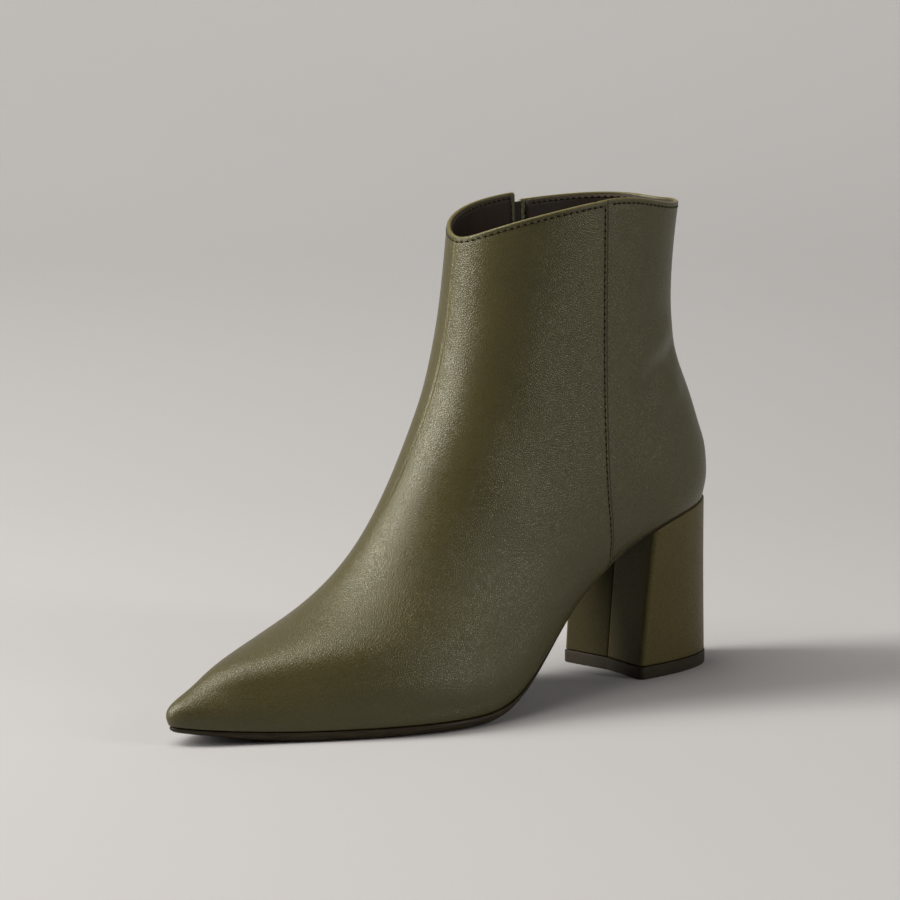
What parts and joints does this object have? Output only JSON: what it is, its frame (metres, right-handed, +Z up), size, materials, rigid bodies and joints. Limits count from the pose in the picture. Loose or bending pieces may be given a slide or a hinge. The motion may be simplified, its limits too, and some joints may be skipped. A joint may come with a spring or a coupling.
{
  "type": "block heel ankle boot",
  "caption": "Pointed toe leather ankle boot for the left foot, with a covered block heel, lapped outer side seam and a zip on the inner side.",
  "frame": {"origin": "on the floor under the middle of the boot's box", "axes": "+X from heel to toe, +Y to the wearer's left, which is the boot's outer side, +Z up"},
  "size_m": [0.2602, 0.0836, 0.1952],
  "materials": {
    "olive_leather": "smooth satin leather with a fine grain, olive green",
    "heel_leather": "the upper's olive leather stretched over the heel block",
    "dark_sole": "dark brown thin sole with a polished edge",
    "lining_leather": "matt dark brown lining leather",
    "top_piece_rubber": "matt dark brown wear layer",
    "zip_metal": "dull grey metal"
  },
  "bodies": {
    "boot": {"upper": "olive_leather", "outsole": "dark_sole", "insole": "lining_leather", "heel_block": "heel_leather", "heel_top_piece": "top_piece_rubber", "zip_chain": "zip_metal", "zip_slider": "zip_metal"},
    "zip_pull": {"zip_pull": "zip_metal"}
  },
  "joints": [
    {"name": "zip_pull_swing", "type": "hinge", "parent": "boot", "child": "zip_pull", "pos_m": [-0.06154, -0.03687, 0.17517], "axis": [-0.9984, 0.0554, 0.0139], "range_deg": [0, 165]}
  ]
}
